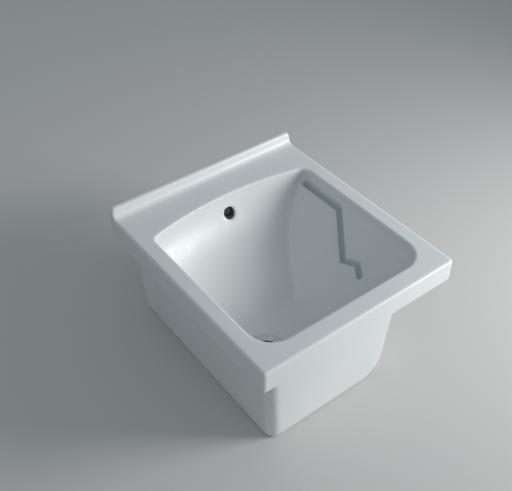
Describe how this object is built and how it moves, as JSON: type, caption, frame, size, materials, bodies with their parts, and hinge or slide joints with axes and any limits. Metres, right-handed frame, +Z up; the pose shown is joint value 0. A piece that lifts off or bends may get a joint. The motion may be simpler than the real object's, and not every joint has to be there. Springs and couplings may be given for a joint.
{
  "type": "laundry sink",
  "caption": "Glazed ceramic laundry sink with a rear upstand, a grooved washing slope, a cast overflow and a slotted waste closed by a lift-out plug.",
  "frame": {"origin": "on the ground under the middle of the rim", "axes": "+Z up, front of the sink towards -Y, washing slope on the right at +X"},
  "size_m": [0.45, 0.5, 0.2323],
  "materials": {
    "glaze": "gloss",
    "flange_metal": "polished",
    "seal_rubber": "matt",
    "washer_plastic": "matt",
    "brass": "satin",
    "steel": "satin",
    "plug_rubber": "matt"
  },
  "bodies": {
    "sink": {"ceramic_body": "glaze", "waste_flange_body": "flange_metal", "flange_seal": "seal_rubber", "under_seal": "seal_rubber", "slip_washer": "washer_plastic", "lock_nut": "brass", "strainer_plate": "steel", "strainer_screw": "steel"},
    "plug": {"drain_plug": "plug_rubber", "plug_eyebolt": "flange_metal", "plug_washer": "steel", "plug_nut": "brass"},
    "ring": {"pull_ring": "flange_metal"}
  },
  "joints": [
    {"name": "plug_lift", "type": "slide", "parent": "sink", "child": "plug", "axis": [0, 0, 1], "range_m": [0, 0.15]},
    {"name": "ring_swing", "type": "hinge", "parent": "plug", "child": "ring", "pos_m": [-0.102, -0.103, 0.0487], "axis": [-1, 0, 0], "range_deg": [0, 202]}
  ]
}
